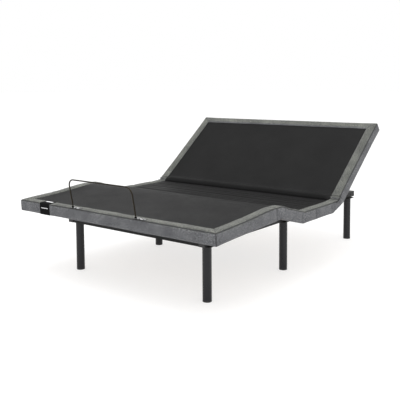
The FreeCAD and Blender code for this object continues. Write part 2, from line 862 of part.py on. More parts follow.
plate_length = 85.0
plate_width = 22.0
plate_thick = 3.0
plate_gap = 0.3
plate_overhang = 12.0
screw_reaches = (26.0, 58.0)
screw_r = 5.0
screw_height = 2.2
socket_r = 7.0
socket_height = 12.0
bar_xs = (bar_centre_x - bar_half, bar_centre_x + bar_half)


def retainer_plate(x):
    """Screwed plate with a short socket that the retainer bar stands in."""
    x0 = x - plate_overhang
    y0 = bar_base_y - plate_width / 2
    low = wrap_top + plate_gap
    high = low + plate_thick
    base = box(x0, x0 + plate_length, y0, y0 + plate_width, low, high)
    socket = rod_z(wrap_top + 1, wrap_top + socket_height, x, bar_base_y, socket_r)
    bore = rod_z(high, wrap_top + socket_height + 1, x, bar_base_y, bar_r + 0.3)
    screws = []
    for reach in screw_reaches:
        screws.append(rod_z(high - plate_gap, high + screw_height, x + reach, bar_base_y, screw_r))
    return raise_calf(base.fuse([socket] + screws).cut(bore).removeSplitter())


def retainer_bar():
    """Round bar: two uprights that lean outwards from their sockets, and a top rail."""
    lean = math.radians(bar_lean)
    left, right = bar_xs
    foot_z = wrap_top + plate_thick + 1.0
    neck_z = wrap_top + socket_height + 4.0

    def point(x, rise):
        return V(x, bar_base_y - rise * math.sin(lean), neck_z + rise * math.cos(lean))

    top = bar_height - (neck_z - wrap_top)
    spare = bar_corner * (1 - math.sqrt(0.5))
    corner_low = top - bar_corner
    edges = [
        Part.LineSegment(V(left, bar_base_y, foot_z), V(left, bar_base_y, neck_z)).toShape(),
        Part.LineSegment(V(left, bar_base_y, neck_z), point(left, corner_low)).toShape(),
        Part.Arc(point(left, corner_low), point(left + spare, top - spare),
                 point(left + bar_corner, top)).toShape(),
        Part.LineSegment(point(left + bar_corner, top), point(right - bar_corner, top)).toShape(),
        Part.Arc(point(right - bar_corner, top), point(right - spare, top - spare),
                 point(right, corner_low)).toShape(),
        Part.LineSegment(point(right, corner_low), V(right, bar_base_y, neck_z)).toShape(),
        Part.LineSegment(V(right, bar_base_y, neck_z), V(right, bar_base_y, foot_z)).toShape(),
    ]
    circle = Part.Wire([Part.Circle(V(left, bar_base_y, foot_z), V(0, 0, 1), bar_r).toShape()])
    bar = Part.Wire(edges).makePipeShell([circle], True, False, 2)
    return raise_calf(bar)


save("retainer_plates", [retainer_plate(x) for x in bar_xs])
save("retainer_bar", [retainer_bar()])

tag_low_x = -567.0
tag_high_x = -480.0
tag_thick = 1.2
tag_end = foot_end + 44.0
tag_gap = 0.1
outer_face = foot_end - tag_thick
inner_face = foot_end - tag_gap
tag_top = wrap_top + tag_thick
tag_bottom = wrap_bottom + 4.0
tag_outer = box(tag_low_x, tag_high_x, outer_face, tag_end, tag_bottom, tag_top)
tag_inner = box(tag_low_x - 1, tag_high_x + 1, inner_face, tag_end + 1, wrap_bottom, wrap_top + tag_gap)
save("blank_tag", [raise_calf(tag_outer.cut(tag_inner))])
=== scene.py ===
import math

import bpy
import numpy as np
from mathutils import Matrix, Vector, noise


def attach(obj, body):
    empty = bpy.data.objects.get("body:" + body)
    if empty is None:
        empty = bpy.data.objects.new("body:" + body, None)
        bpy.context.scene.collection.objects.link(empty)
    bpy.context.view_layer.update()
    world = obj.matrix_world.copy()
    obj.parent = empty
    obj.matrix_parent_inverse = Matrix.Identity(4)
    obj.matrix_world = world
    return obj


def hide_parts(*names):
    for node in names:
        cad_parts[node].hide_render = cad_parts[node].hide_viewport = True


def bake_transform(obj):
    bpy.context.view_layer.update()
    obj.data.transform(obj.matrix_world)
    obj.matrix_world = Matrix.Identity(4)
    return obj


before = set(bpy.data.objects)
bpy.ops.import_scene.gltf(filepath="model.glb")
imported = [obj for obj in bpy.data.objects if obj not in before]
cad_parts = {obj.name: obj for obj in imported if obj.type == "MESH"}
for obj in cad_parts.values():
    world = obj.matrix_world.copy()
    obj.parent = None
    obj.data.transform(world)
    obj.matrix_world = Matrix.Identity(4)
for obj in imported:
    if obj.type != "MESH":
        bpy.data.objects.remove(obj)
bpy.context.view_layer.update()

print("frame loaded")

# the bed as part of its own frame, in metres, with every section lying flat
bed = {
    "half": 0.7555,  # outer face of the border, from the middle
    "top": 0.4172,
    "bottom": 0.3482,
    "border": 0.0602,
    "cover": 0.4152,  # top of the black deck cloth
    "footEnd": -1.021,
    "headEnd": 1.009,
    "kneeRise": 0.0095,
}
hinges = {
    "knee": {"y": -0.426, "z": 0.350, "turn": 18.0},
    "lap": {"y": -0.171, "z": 0.409, "turn": -15.0},
    "back": {"y": 0.250, "z": 0.409, "turn": 37.5},
}
edgeStep = 0.006  # spacing of the rings along a border
crossStep = 0.0042  # spacing of the points round a border


def smooth(t):
    t = np.clip(t, 0.0, 1.0)
    return t * t * (3 - 2 * t)


def hump(distance, width):  # a soft bell, 1 in the middle
    return np.exp(-((distance / width) ** 2))


def past(points, hinge):  # how far points are towards the head from a hinge, along the flat bed
    return points[:, 1] - hinges[hinge]["y"]


def outward(points, start, width):  # which way is out of the bed, grown from nothing at start
    return np.sign(points[:, 0]) * smooth((np.abs(points[:, 0]) - start) / width)


def turned(points, hinge, share=1.0):  # turns points about a hinge line that runs across the bed
    angle = math.radians(hinges[hinge]["turn"]) * share
    y, z = points[:, 1] - hinges[hinge]["y"], points[:, 2] - hinges[hinge]["z"]
    moved = points.copy()
    moved[:, 1] = hinges[hinge]["y"] + y * np.cos(angle) - z * np.sin(angle)
    moved[:, 2] = hinges[hinge]["z"] + y * np.sin(angle) + z * np.cos(angle)
    return moved


def laid(points, where, zone=(0.0, 0.0)):  # from the flat bed to how it stands at rest
    if where == "seat":
        return points
    if where == "head":
        return turned(points, "back")
    if where == "thigh":
        return turned(points, "lap")
    if where == "calf":
        return turned(turned(points, "knee"), "lap")
    share = smooth((points[:, 1] - zone[0]) / (zone[1] - zone[0]))
    if where == "back":
        return turned(points, "back", share)
    if where == "lap":
        return turned(points, "lap", 1 - share)
    return turned(turned(points, "knee", 1 - share), "lap")


def clearSelection():
    if bpy.context.object and bpy.context.object.mode != "OBJECT":
        bpy.ops.object.mode_set(mode="OBJECT")
    bpy.ops.object.select_all(action="DESELECT")


def pick(piece):
    clearSelection()
    piece.select_set(True)
    bpy.context.view_layer.objects.active = piece
    return piece


def applyAll(piece):
    pick(piece)
    for modifier in list(piece.modifiers):
        bpy.ops.object.modifier_apply(modifier=modifier.name)
    return piece


def gridMesh(name, points, columns, lengths, held, breaks=(), dark=None, inward=False):
    # points come row by row, with their places on the flat cloth; a break starts a new run of cloth
    faces = []
    for row in range(len(points) // columns - 1):
        if row + 1 in breaks:
            continue
        for column in range(columns - 1):
            corner = row * columns + column
            face = (corner, corner + 1, corner + columns + 1, corner + columns)
            faces.append(face[::-1] if inward else face)
    mesh = bpy.data.meshes.new(name)
    mesh.from_pydata(points.tolist(), [], faces)
    layer = mesh.uv_layers.new(name="cloth")
    corners = np.zeros(len(mesh.loops), np.int32)
    mesh.loops.foreach_get("vertex_index", corners)
    layer.data.foreach_set("uv", lengths[corners].astype(np.float32).ravel())
    mesh.update()
    piece = bpy.data.objects.new(name, mesh)
    bpy.context.collection.objects.link(piece)
    group = piece.vertex_groups.new(name="held")
    group.add([int(i) for i in np.nonzero(held)[0]], 1.0, "REPLACE")
    if dark is not None:  # how much painted shade a point carries: the seam grooves (partly the dark seam line itself), the pleat valleys and the deck creases
        mesh.attributes.new("seam", "FLOAT", "POINT").data.foreach_set("value", dark.astype(np.float32))
    if breaks:
        pick(piece)
        bpy.ops.object.mode_set(mode="EDIT")
        bpy.ops.mesh.select_all(action="SELECT")
        bpy.ops.mesh.remove_doubles(threshold=0.00001)
        bpy.ops.object.mode_set(mode="OBJECT")
    return piece


def readPoints(piece):
    points = np.zeros(len(piece.data.vertices) * 3, np.float32)
    piece.data.vertices.foreach_get("co", points)
    return points.reshape(-1, 3).astype(float)


def writePoints(piece, points):
    piece.data.vertices.foreach_set("co", points.astype(np.float32).ravel())
    piece.data.update()


def swell(piece, spare, cap):  # lets the cloth take its own shape between its seams
    before = readPoints(piece)
    pick(piece)
    cloth = piece.modifiers.new("cloth", "CLOTH")
    cloth.settings.vertex_group_mass = "held"
    cloth.settings.quality = 6
    cloth.settings.mass = 0.3
    cloth.settings.tension_stiffness = 18
    cloth.settings.compression_stiffness = 18
    cloth.settings.shear_stiffness = 6
    cloth.settings.bending_stiffness = 0.6
    cloth.settings.air_damping = 6
    cloth.settings.use_pressure = True
    cloth.settings.uniform_pressure_force = sewing["pressure"]
    cloth.settings.shrink_min = -spare
    cloth.settings.effector_weights.gravity = 0
    cloth.collision_settings.use_collision = False
    cloth.point_cache.frame_start = 1
    cloth.point_cache.frame_end = sewing["steps"]
    for step in range(1, sewing["steps"] + 1):
        bpy.context.scene.frame_set(step)
    bpy.ops.object.modifier_apply(modifier="cloth")
    bpy.context.scene.frame_set(1)
    move = readPoints(piece) - before
    far = np.linalg.norm(move, axis=1)
    keep = np.minimum(1.0, cap / np.maximum(far, 1e-9))
    keep = np.where(np.isfinite(keep), keep, 0.0)
    writePoints(piece, before + np.nan_to_num(move) * keep[:, None])
    print("  swelled", piece.name, "by up to", round(float(far.max()) * 1000, 1), "mm")
    return piece


def thicken(piece, thickness):  # the wall grows inwards
    wall = piece.modifiers.new("wall", "SOLIDIFY")
    wall.thickness = thickness
    wall.offset = -1.0
    applyAll(piece)
    piece.data.polygons.foreach_set("use_smooth", [True] * len(piece.data.polygons))
    pick(piece)
    bpy.ops.object.shade_smooth_by_angle(angle=math.radians(50))
    return piece


class Wire:  # a socket that sums can be written with
    def __init__(self, paint, socket):
        self.paint = paint
        self.socket = socket

    def calc(self, operation, first, second=0.0):
        return self.paint.node("ShaderNodeMath", {"operation": operation}, {0: first, 1: second})

    def __add__(self, other):
        return self.calc("ADD", self, other)

    def __radd__(self, other):
        return self.calc("ADD", other, self)

    def __sub__(self, other):
        return self.calc("SUBTRACT", self, other)

    def __rsub__(self, other):
        return self.calc("SUBTRACT", other, self)

    def __mul__(self, other):
        return self.calc("MULTIPLY", self, other)

    def __rmul__(self, other):
        return self.calc("MULTIPLY", other, self)

    def __pow__(self, other):
        return self.calc("POWER", self, other)

    def __gt__(self, other):
        return self.calc("GREATER_THAN", self, other)

    def __abs__(self):
        return self.calc("ABSOLUTE", self)

    def sine(self):
        return self.calc("SINE", self)


class Paint:  # one material, its nodes and its main shader
    def __init__(self, name, **sockets):
        self.material = bpy.data.materials.new(name)
        self.material.use_nodes = True
        self.tree = self.material.node_tree
        self.shader = self.tree.nodes["Principled BSDF"]
        for socket, value in sockets.items():
            self.set(socket.replace("_", " "), value)

    def set(self, socket, value):
        self.plug(self.shader.inputs[socket], value)

    def plug(self, socket, value):
        if isinstance(value, Wire):
            self.tree.links.new(value.socket, socket)
        elif socket.type == "RGBA" and len(value) == 3:
            socket.default_value = (*value, 1.0)
        else:
            socket.default_value = value

    def node(self, kind, settings, sockets, output=0):
        made = self.tree.nodes.new(kind)
        for setting, value in settings.items():
            if setting == "stops":
                ramp = made.color_ramp
                while len(ramp.elements) < len(value):
                    ramp.elements.new(0.5)
                for element, (position, colour) in zip(ramp.elements, value):
                    element.position = position
                    element.color = (*colour, 1.0)
            else:
                setattr(made, setting, value)
        for socket, value in sockets.items():
            self.plug(made.inputs[socket], value)
        return Wire(self, made.outputs[output])

    def place(self, kind="Object", size=(1.0, 1.0, 1.0)):
        where = self.node("ShaderNodeTexCoord", {}, {}, kind)
        return self.node("ShaderNodeMapping", {}, {"Vector": where, "Scale": size})

    def parts(self, vector):
        split = self.tree.nodes.new("ShaderNodeSeparateXYZ")
        self.plug(split.inputs[0], vector)
        return [Wire(self, split.outputs[i]) for i in range(3)]

    def noise(self, where, scale, detail=3.0, rough=0.55):
        return self.node(
            "ShaderNodeTexNoise",
            {"noise_dimensions": "3D"},
            {"Vector": where, "Scale": scale, "Detail": detail, "Roughness": rough},
        )

    def ramp(self, value, *stops):
        return self.node("ShaderNodeValToRGB", {"stops": stops}, {0: value})

    def mixed(self, share, first, second, blend="MIX"):
        settings = {"data_type": "RGBA", "blend_type": blend}
        return self.node("ShaderNodeMix", settings, {0: share, 6: first, 7: second}, 2)

    def ranged(self, value, low, high, newLow, newHigh):
        return self.node(
            "ShaderNodeMapRange",
            {"clamp": True},
            {0: value, 1: low, 2: high, 3: newLow, 4: newHigh},
        )

    def bump(self, height, distance, strength):
        sockets = {"Height": height, "Distance": distance, "Strength": strength}
        self.set("Normal", self.node("ShaderNodeBump", {}, sockets))


def weave(paint, where, pitch):  # threads over and under each other: height, and which one shows
    sideways, along = paint.parts(where)[:2]
    one = (sideways * (math.pi / pitch)).sine()
    two = (along * (math.pi / pitch)).sine()
    over = (one * two) > 0.0
    height = abs(one) * over + abs(two) * (1 - over)
    return height, over


def greyHeather():
    paint = Paint("grey_heather_cloth", Roughness=0.92)
    paint.set("Specular IOR Level", 0.25)
    paint.set("Sheen Weight", 0.12)
    paint.set("Sheen Roughness", 0.5)
    cloth = paint.place("UV")
    height, over = weave(paint, cloth, 0.0013)
    warp = paint.noise(paint.place("UV", (60.0, 900.0, 1.0)), 1.0, 2.0)
    weft = paint.noise(paint.place("UV", (900.0, 60.0, 1.0)), 1.0, 2.0)
    fleck = warp * over + weft * (1 - over)
    blotch = paint.noise(cloth, 170.0, 4.0, 0.8)
    broad = paint.noise(cloth, 9.0, 2.0)
    tone = fleck * 0.42 + blotch * 0.46 + broad * 0.12
    shade = paint.ramp(
        paint.ranged(tone, 0.42, 0.60, 0.0, 1.0),
        (0.0, (0.030, 0.031, 0.034)),
        (0.40, (0.078, 0.080, 0.082)),
        (0.72, (0.146, 0.149, 0.147)),
        (1.0, (0.290, 0.294, 0.284)),
    )
    # painted shade: the seam attribute darkens the heather toward near black in the seam grooves and
    # pleat valleys; along the seams it is partly the dark seam line itself
    seam = paint.node("ShaderNodeAttribute", {"attribute_name": "seam"}, {}, "Fac")
    # painted light: faces turned upwards are lighter and greener, side faces darker and bluer, as the
    # light falls on them
    upward = paint.ranged(paint.parts(paint.place("Normal"))[2], 0.3, 0.8, 0.0, 1.0)
    topLitTint = paint.mixed(upward, (0.97, 0.965, 1.02), (1.02, 1.03, 0.92))
    heatherLit = paint.mixed(1.0, shade, topLitTint, "MULTIPLY")
    paint.set("Base Color", paint.mixed(seam ** 1.6 * 0.9, heatherLit, (0.012, 0.012, 0.013)))
    paint.set("Roughness", paint.ranged(tone, 0.3, 0.7, 0.96, 0.84))
    paint.bump(height * 0.7 + fleck * 0.6, 0.0006, 0.7)
    return paint.material


def blackCloth():
    paint = Paint("black_deck_cloth")
    paint.set("Specular IOR Level", 0.115)
    cloth = paint.place("UV")
    height = weave(paint, cloth, 0.0011)[0]
    broad = paint.noise(cloth, 5.0, 3.0)
    fuzz = paint.noise(cloth, 600.0, 2.0)
    # painted shade: the seam attribute darkens the cloth toward black in the crease valleys and where
    # it rolls down into the head bend
    fold = paint.node("ShaderNodeAttribute", {"attribute_name": "seam"}, {}, "Fac")
    shade = paint.mixed(broad * 0.6 + fuzz * 0.4, (0.0026, 0.0026, 0.0027), (0.0072, 0.0072, 0.0073))
    paint.set("Base Color", paint.mixed(fold, shade, (0.0008, 0.0008, 0.0008)))
    sheen = paint.ranged(broad * 0.5 + fuzz * 0.5, 0.3, 0.7, 0.62, 0.5)
    paint.set("Roughness", sheen + fold * 0.3)
    paint.bump(height + fuzz * 0.5, 0.0004, 0.5)
    return paint.material


def powderCoat(name, colour, roughness, sheen=0.32):  # baked paint on steel tube
    paint = Paint(name)
    paint.set("Specular IOR Level", sheen)
    where = paint.place()
    peel = paint.noise(where, 900.0, 2.0)
    dull = paint.noise(where, 7.0, 4.0, 0.6)
    rubbed = paint.ranged(paint.noise(where, 40.0, 6.0, 0.7), 0.62, 0.78, 0.0, 1.0)
    lighter = tuple(min(1.0, c * 1.9 + 0.006) for c in colour)
    paint.set("Base Color", paint.mixed(rubbed * 0.5 + dull * 0.25, colour, lighter))
    paint.set("Roughness", paint.ranged(dull, 0.3, 0.7, roughness - 0.07, roughness + 0.08))
    paint.bump(peel, 0.00025, 0.35)
    return paint.material


def brushedMetal(name, colour, roughness, streak):
    paint = Paint(name, Metallic=1.0)
    lines = paint.noise(paint.place("Object", (6.0, streak, 160.0)), 6.0, 4.0)
    cloud = paint.noise(paint.place(), 18.0, 5.0, 0.65)
    darker = tuple(c * 0.72 for c in colour)
    paint.set("Base Color", paint.mixed(cloud, darker, colour))
    wear = cloud * 0.6 + lines * 0.4
    paint.set("Roughness", paint.ranged(wear, 0.3, 0.7, roughness - 0.08, roughness + 0.1))
    paint.bump(lines, 0.0001, 0.25)
    return paint.material


def moulded(name, colour, roughness, grain):
    paint = Paint(name)
    where = paint.place()
    pebble = paint.noise(where, grain, 2.0)
    cloud = paint.noise(where, 14.0, 3.0)
    lighter = tuple(min(1.0, c * 1.35 + 0.004) for c in colour)
    paint.set("Base Color", paint.mixed(cloud, colour, lighter))
    paint.set("Roughness", paint.ranged(cloud, 0.3, 0.7, roughness - 0.05, roughness + 0.06))
    paint.bump(pebble, 0.0002, 0.5)
    return paint.material


def plywood():
    paint = Paint("plywood_board")
    paint.set("Specular IOR Level", 0.35)
    where = paint.place("Object", (22.0, 1.6, 22.0))
    wander = paint.noise(paint.place("Object", (2.0, 0.8, 2.0)), 1.5, 3.0)
    grain = paint.noise(where, 1.0, 6.0, 0.62)
    lines = abs((paint.parts(paint.place())[0] * 55.0 + wander * 26.0).sine())
    tone = grain * 0.65 + lines * 0.35
    paint.set(
        "Base Color",
        paint.ramp(
            tone,
            (0.15, (0.235, 0.142, 0.070)),
            (0.5, (0.430, 0.290, 0.160)),
            (0.85, (0.600, 0.440, 0.270)),
        ),
    )
    paint.set("Roughness", paint.ranged(tone, 0.2, 0.8, 0.72, 0.55))
    paint.bump(grain, 0.0004, 0.4)
    return paint.material


finishes = {
    "grey_fabric": greyHeather(),
    "black_cloth": blackCloth(),
    "frame_black": powderCoat("frame_black_paint", (0.004, 0.004, 0.0042), 0.5, sheen=0.2),
    "leg_black": powderCoat("leg_black_paint", (0.0055, 0.0055, 0.0072), 0.27),
    "zinc_steel": brushedMetal("zinc_plated_steel", (0.62, 0.63, 0.65), 0.36, 6.0),
    "rod_chrome": brushedMetal("bright_rod_steel", (0.78, 0.79, 0.80), 0.2, 3.0),
    "retainer_steel": brushedMetal("bar_bronze_steel", (0.036, 0.031, 0.023), 0.34, 6.0),
    "black_plastic": moulded("black_moulding", (0.014, 0.014, 0.015), 0.48, 1400.0),
    "white_nylon": moulded("white_nylon_bush", (0.62, 0.62, 0.60), 0.42, 900.0),
    "rubber_black": moulded("black_rubber", (0.016, 0.016, 0.016), 0.72, 700.0),
    "plywood": plywood(),
    "tag_black": None,
}


def wovenTag():
    paint = Paint("black_woven_tag")
    paint.set("Specular IOR Level", 0.06)
    height = weave(paint, paint.place("UV"), 0.0006)[0]
    fuzz = paint.noise(paint.place("UV"), 900.0, 2.0)
    paint.set("Base Color", paint.mixed(fuzz, (0.003, 0.003, 0.0032), (0.007, 0.007, 0.0072)))
    paint.set("Roughness", paint.ranged(fuzz, 0.3, 0.7, 0.9, 0.8))
    paint.bump(height, 0.0003, 0.5)
    return paint.material


def paleTrim():
    paint = Paint("pale_thread")
    height = weave(paint, paint.place("UV"), 0.0007)[0]
    fuzz = paint.noise(paint.place("UV"), 700.0, 2.0)
    paint.set("Base Color", paint.mixed(fuzz, (0.62, 0.62, 0.63), (0.82, 0.82, 0.83)))
    paint.set("Roughness", paint.ranged(fuzz, 0.3, 0.7, 0.7, 0.55))
    paint.bump(height, 0.0003, 0.5)
    return paint.material


finishes["tag_black"] = wovenTag()
trimFinish = paleTrim()

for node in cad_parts.values():  # every CAD part that stays gets its finish by slot
    for holder in node.material_slots:
        known = [name for name in finishes if holder.material and holder.material.name.startswith(name)]
        if known:
            holder.material = finishes[known[0]]
        else:
            print("no finish for", node.name, holder.material)
print("finishes made")


def borderOutline():
    corners = [  # round the border: inwards from the outer face, height, and whether it is held there
        (0.0602, 0.4128, True),
        (0.0606, 0.4150, True),
        (0.0594, 0.4166, False),
        (0.0565, 0.4172, False),
        (0.0050, 0.4172, False),
        (0.0022, 0.4165, False),
        (0.0034, 0.4140, True),
        (0.0004, 0.4128, False),
        (0.0000, 0.4105, False),
        (0.0000, 0.3545, False),
        (0.0009, 0.3508, False),
        (0.0034, 0.3488, False),
        (0.0080, 0.3482, True),
        (0.0280, 0.3482, True),
        (0.0288, 0.3496, True),
    ]
    points, held, along, total = [], [], [], 0.0
    for start, end in zip(corners, corners[1:]):
        length = math.dist(start[:2], end[:2])
        pieces = max(1, math.ceil(length / crossStep))
        for i in range(pieces):
            share = i / pieces
            points.append([a + (b - a) * share for a, b in zip(start[:2], end[:2])])
            held.append(start[2] if i == 0 else start[2] and end[2])
            along.append(total + length * share)
        total += length
    points.append(list(corners[-1][:2]))
    held.append(True)
    along.append(total)
    return np.array(points), np.array(held), np.array(along)


def borderStrip(name, runs, where, zone=(0.0, 0.0), seams=(), pressed=(), shape=None, foldShade=None):
    # runs are the corners of the outer face, clockwise from above; seams are y places sewn through
    outline, heldRound, around = borderOutline()
    seamPoint = int(np.argmin(np.linalg.norm(outline - sewing["stitch"], axis=1)))
    points, held, lengths, breaks, dark, travelled = [], [], [], [], [], 0.0
    for index, (start, finish) in enumerate(zip(runs, runs[1:])):
        startPoint, endPoint = Vector(start), Vector(finish)
        length = (endPoint - startPoint).length
        ahead = (endPoint - startPoint) / length
        inward = Vector((ahead.y, -ahead.x))
        count = max(2, round(length / edgeStep) + 1)
        breaks.append(len(points) // len(outline))
        for i in range(count):
            here = length * i / (count - 1)
            slide = 0.0
            if index > 0:
                slide += max(0.0, 1 - here / sewing["mitre"])
            if index < len(runs) - 2:
                slide -= max(0.0, 1 - (length - here) / sewing["mitre"])
            middle = startPoint + ahead * here
            corner = (i == 0 and index > 0) or (i == count - 1 and index < len(runs) - 2)
            sewn = corner or any(abs(middle.y - seam) < edgeStep / 2 for seam in seams)
            end = i in (0, count - 1)
            for (depth, height), stuck, girth in zip(outline, heldRound, around):
                spot = middle + ahead * (slide * depth) + inward * depth
                if sewn:
                    spot = spot + inward * sewing["groove"]
                    height = height - sewing["groove"] * (height > bed["cover"])
                under = any(
                    low[0] < spot.x < high[0] and low[1] < spot.y < high[1] for low, high in pressed
                )
                points.append((spot.x, spot.y, height))
                held.append(stuck or sewn or under or end)
                lengths.append((travelled + here + slide * depth, girth))
                # painted shade: darker on the sewn seams and beside the long seam, partly the dark seam
                # line itself; the fold shading adds painted shade in the pleat valleys
                shown = depth < bed["border"] - 0.0004 and height > bed["bottom"] + 0.002
                beside = abs(girth - around[seamPoint])
                onSeam = (sewn and shown) or beside < 0.0001
                dark.append(1.0 if onSeam else 0.8 * (beside < 0.004))
        travelled += length
    flatPlan = np.array(points)
    flat = shape(flatPlan) if shape else flatPlan
    shadow = np.array(dark) + (foldShade(flatPlan) if foldShade else 0.0)
    piece = gridMesh(
        name,
        laid(flat, where, zone),
        len(outline),
        np.array(lengths),
        np.array(held),
        breaks[1:],
        dark=np.clip(shadow, 0.0, 1.0),
        inward=True,
    )
    piece.data.materials.append(finishes["grey_fabric"])
    return piece


sewing = {
    "mitre": 0.12,  # how far from a corner the cloth starts to run to the mitre seam
    "groove": 0.0014,  # how deep a sewn seam draws in
    "wall": 0.0028,
    "pressure": 5.0,
    "steps": 18,
    "stitch": (0.0034, 0.4140),  # where the long seam runs, inwards and up
    "bend": {"knee": (-0.046, 0.064), "lap": (-0.014, 0.014), "back": (-0.044, 0.050)},
    "fold": {"knee": (-0.046, 0.064), "lap": (-0.014, 0.014), "back": (-0.010, 0.012)},
    "reach": {"knee": (-0.048, 0.110), "lap": (-0.030, 0.135), "back": (-0.090, 0.110)},
}
sections = {"calf": "calf_section", "thigh": "thigh_section", "seat": "root", "head": "head_section"}
crossing = {
    "knee": ("thigh_section", "calf_section"),
    "lap": ("root", "thigh_section"),
    "back": ("root", "head_section"),
}


def ends(hinge, kind):  # where a piece over a hinge starts and stops, along the flat bed
    return [hinges[hinge]["y"] + reach for reach in sewing[kind][hinge]]


def across(piece, hinge, kind="bend"):  # cloth over a hinge that it crosses; only its transform is baked in, and nothing ties it to the joint
    zone = ends(hinge, kind)
    height = hinges[hinge]["z"]
    points = laid(np.array([(0.0, y, height) for y in zone]), hinge, zone)
    start, end = (0, 1) if hinge == "back" else (1, 0)
    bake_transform(piece)
    return piece


slack = {  # how the cloth stands up or draws in beside each bend
    "kneeTop": -0.085,
    "kneeReach": (0.17, 0.080),
    "kneeBulge": 0.0026,
    "pleatSide": 0.0034,
    "pleatTop": 0.0030,
    "pleats": ((0.031, 0.5, 0.75), (0.019, 1.6, 0.25)),  # length, shift and size of each wave
    "pleatFan": 7,
    "underLift": 0.022,
    "lapDraw": 0.0022,
}


def kneeRise(points):  # the cloth is slack over the knee, so it stands up in a soft round
    away = past(points, "knee") - slack["kneeTop"]
    before, after = slack["kneeReach"]
    return hump(away, np.where(away < 0, before, after))


def kneePuff(points):
    moved = points.copy()
    y = past(points, "knee")
    rise = kneeRise(points)
    moved[:, 2] += bed["kneeRise"] * rise * smooth((points[:, 2] - 0.355) / 0.05)
    tuck = hump(y + 0.030, 0.006) + 0.7 * hump(y + 0.012, 0.005)
    low = smooth((0.402 - points[:, 2]) / 0.03)
    moved[:, 0] += outward(points, 0.70, 0.03) * slack["kneeBulge"] * (rise - tuck * low)
    return moved


def pleatWave(points):  # folds that fan out from the inside of the bend
    fan = past(points, "back") / (1 + slack["pleatFan"] * (bed["top"] - points[:, 2]))
    waves = slack["pleats"]
    return sum(np.cos(fan / length * 2 * math.pi + shift) * size for length, shift, size in waves)


def backPleats(points):  # the cloth folds up into a fan of pleats in the inside of the bend
    moved = points.copy()
    y = past(points, "back")
    wave = pleatWave(points)
    high = smooth((points[:, 2] - 0.352) / 0.06)
    fade = smooth((y + 0.055) / 0.03) * smooth((0.065 - y) / 0.03)
    outer = outward(points, 0.735, 0.02)
    moved[:, 0] += outer * fade * (slack["pleatSide"] * wave * high + 0.0016)
    top = smooth((points[:, 2] - 0.412) / 0.004)
    moved[:, 2] += (slack["pleatTop"] * wave + 0.0036) * fade * top
    low = smooth((0.398 - points[:, 2]) / 0.04)
    moved[:, 2] += slack["underLift"] * smooth(1 - np.abs(y) / 0.066) * low
    return moved


def pleatShade(points):  # the valleys of the pleats are in shadow
    y = past(points, "back")
    fade = smooth((y + 0.060) / 0.02) * smooth((0.066 - y) / 0.02)
    high = smooth((points[:, 2] - 0.37) / 0.04)
    return np.clip(-1.8 * pleatWave(points) - 0.1, 0.0, 1.0) * fade * high


def lapCrease(points):
    moved = points.copy()
    drawn = hump(past(points, "lap"), 0.007)
    moved[:, 0] -= outward(points, 0.74, 0.01) * slack["lapDraw"] * drawn
    return moved


def finishBorder(piece, joint, spare, cap):
    swell(piece, spare, cap)
    thicken(piece, sewing["wall"])
    if joint in crossing:
        across(piece, joint)
    else:
        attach(piece, sections[joint])
    return piece


half = bed["half"]
kneeEnds, lapEnds, backEnds = (ends(hinge, "reach") for hinge in ("knee", "lap", "back"))
plates = [((x - 0.018, -1.022), (x + 0.080, -0.990)) for x in (-0.2845, 0.2145)]
tagSpan = (-0.567, -0.480)
tagPlace = ((tagSpan[0] - 0.004, -1.03), (tagSpan[1] + 0.004, -0.955))

footBorder = borderStrip(
    "foot_border",
    [(half, kneeEnds[0]), (half, bed["footEnd"]), (-half, bed["footEnd"]), (-half, kneeEnds[0])],
    "calf",
    seams=[kneeEnds[0]],
    pressed=[*plates, tagPlace],
    shape=kneePuff,
)
finishBorder(footBorder, "calf", 0.003, 0.0045)
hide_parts("calf_upholstered_edge")
headBorder = borderStrip(
    "head_border",
    [(-half, backEnds[1]), (-half, bed["headEnd"]), (half, bed["headEnd"]), (half, backEnds[1])],
    "head",
)
finishBorder(headBorder, "head", 0.003, 0.0045)
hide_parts("head_upholstered_edge")

sideRuns = {  # name: section, low end, high end, how the cloth is shaped first, spare cloth
    "thigh": ("thigh", kneeEnds[1], lapEnds[0], kneePuff, 0.003),
    "seat": ("seat", lapEnds[1], backEnds[0], None, 0.003),
    "knee": ("knee", *kneeEnds, kneePuff, 0.010),
    "lap": ("lap", *lapEnds, lapCrease, 0.006),
    "back": ("back", *backEnds, backPleats, 0.012),
}
for name, (where, low, high, shape, spare) in sideRuns.items():
    for side, runs in {
        "right": [(half, high), (half, low)],
        "left": [(-half, low), (-half, high)],
    }.items():
        zone = ends(where, "bend") if where in crossing else (0.0, 0.0)
        seams = [kneeEnds[0], lapEnds[1]]
        # painted shade in the pleat valleys of the head bend
        foldShade = pleatShade if name == "back" else None
        label = f"{name}_border_{side}"
        piece = borderStrip(label, runs, where, zone, seams, shape=shape, foldShade=foldShade)
        finishBorder(piece, where, spare, 0.005 if where in crossing else 0.004)
        if name in ("thigh", "seat") and side == "left":
            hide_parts(f"{name}_upholstered_edge")
print("grey borders made")


def ripple(x, y, seed):  # slow waves in a stretched cloth, the same at every run
    return noise.noise(Vector((x * 2.3 + seed, y * 4.0, seed))) + 0.45 * noise.noise(
        Vector((x * 6.0, y * 11.0 + seed, 3.1))
    )


covers = {
    "thickness": 0.0016,
    "step": 0.009,
    "half": 0.6990,  # tucked a little way under the border
    "tuck": 0.0040,
    "wave": 0.0009,  # how far the cloth strays from flat
    "footEnd": bed["footEnd"] + bed["border"] - 0.0035,
    "headEnd": bed["headEnd"] - bed["border"] + 0.0035,
}


